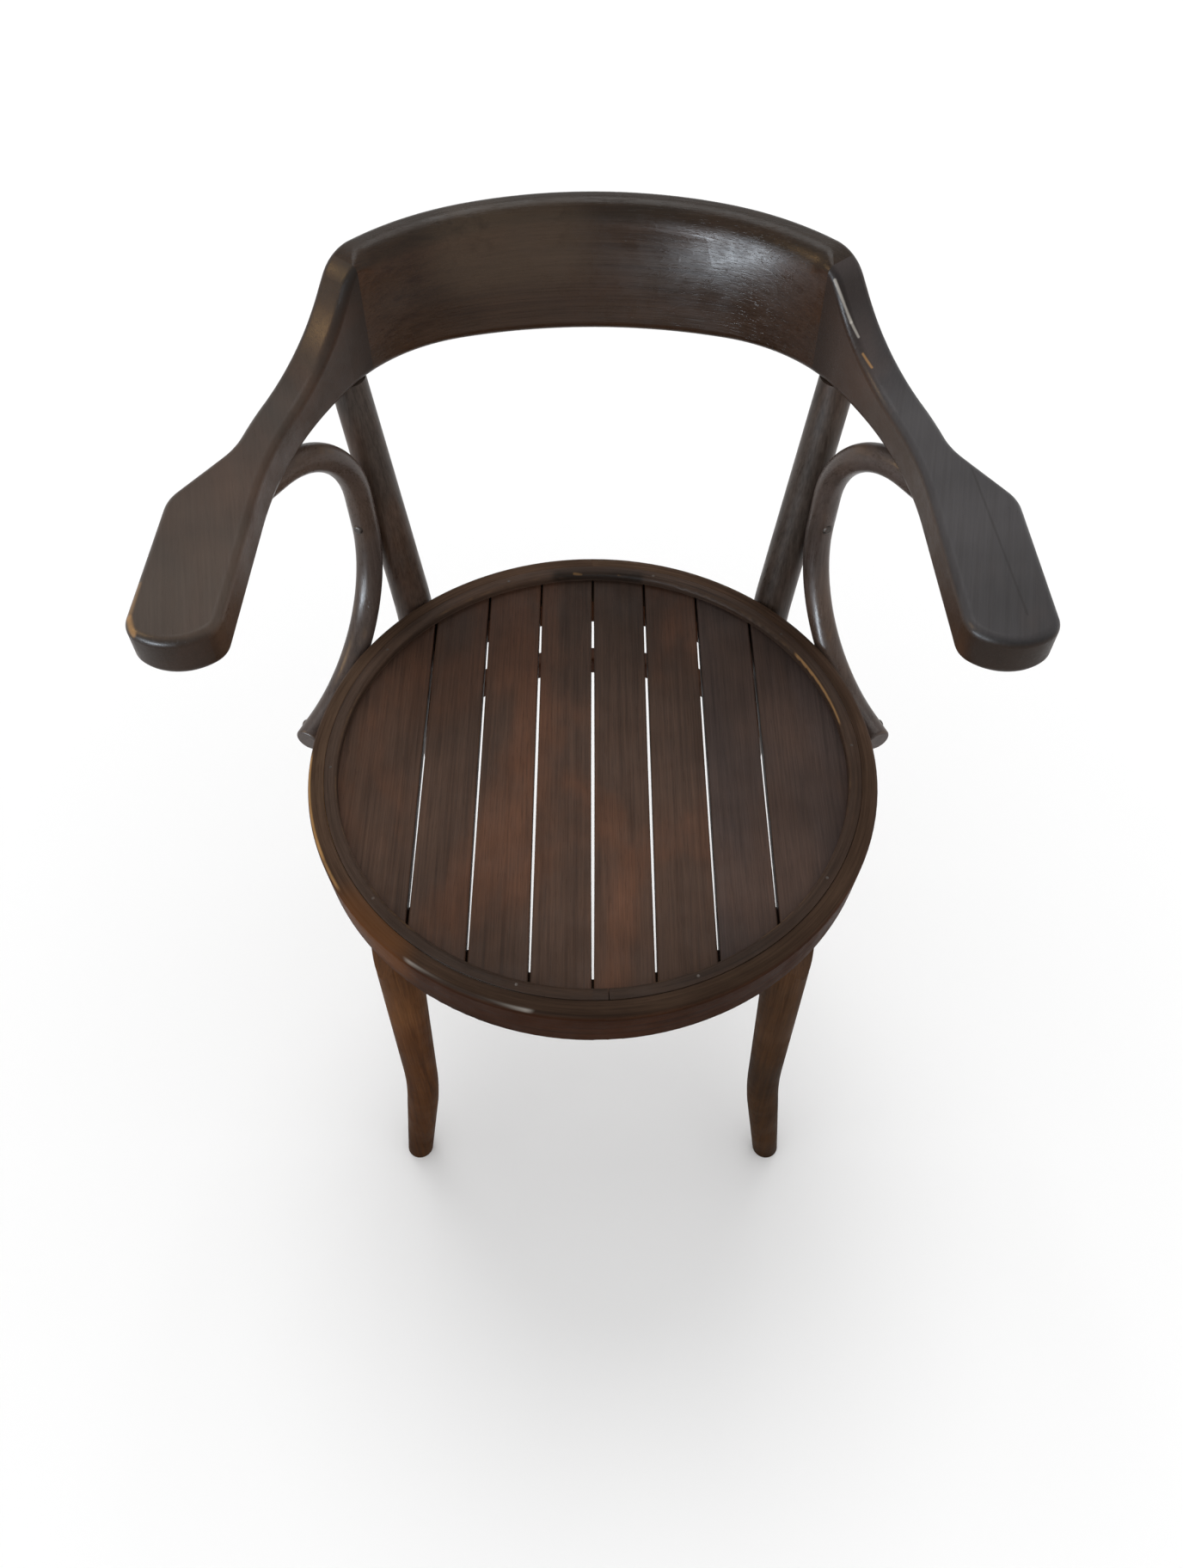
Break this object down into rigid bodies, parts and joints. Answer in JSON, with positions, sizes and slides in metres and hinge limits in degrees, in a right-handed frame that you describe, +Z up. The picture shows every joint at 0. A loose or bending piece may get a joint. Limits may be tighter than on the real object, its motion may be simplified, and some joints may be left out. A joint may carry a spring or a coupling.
{
  "type": "bentwood armchair",
  "caption": "Dark bentwood armchair with a round slatted seat, bent posts, looped arm braces, paddle-ended arms and a tall curved crest rail.",
  "frame": {"origin": "on the floor under the middle of the chair's outline", "axes": "+Z up, the sitter faces -Y, +X is the sitter's left"},
  "size_m": [0.5612, 0.5254, 0.745],
  "materials": {
    "ring_wood": "dark stain under worn shellac",
    "slat_wood": "dark stain under worn shellac",
    "leg_wood": "dark stain under worn shellac",
    "loop_wood": "dark stain under worn shellac",
    "arm_wood": "dark stain under worn shellac",
    "crest_wood": "dark stain under worn shellac",
    "dowel_wood": "bare",
    "steel": "darkened"
  },
  "bodies": {
    "root": {"seat_ring": "ring_wood", "seat_bead": "ring_wood", "stretcher_hoop": "ring_wood", "slat_1": "slat_wood", "slat_2": "slat_wood", "slat_3": "slat_wood", "slat_4": "slat_wood", "slat_5": "slat_wood", "slat_6": "slat_wood", "slat_7": "slat_wood", "slat_8": "slat_wood", "front_leg_left": "leg_wood", "front_leg_right": "leg_wood", "rear_leg_left": "leg_wood", "rear_leg_right": "leg_wood", "arm_loop_left": "loop_wood", "arm_loop_right": "loop_wood", "arm_left": "arm_wood", "arm_right": "arm_wood", "arm_cheek_left": "arm_wood", "arm_cheek_right": "arm_wood", "back_crest": "crest_wood", "crest_dowels": "dowel_wood", "bead_nails": "steel", "loop_screws": "steel", "hoop_screws": "steel", "rear_leg_bolts": "steel", "rear_leg_nuts": "steel"}
  },
  "joints": []
}
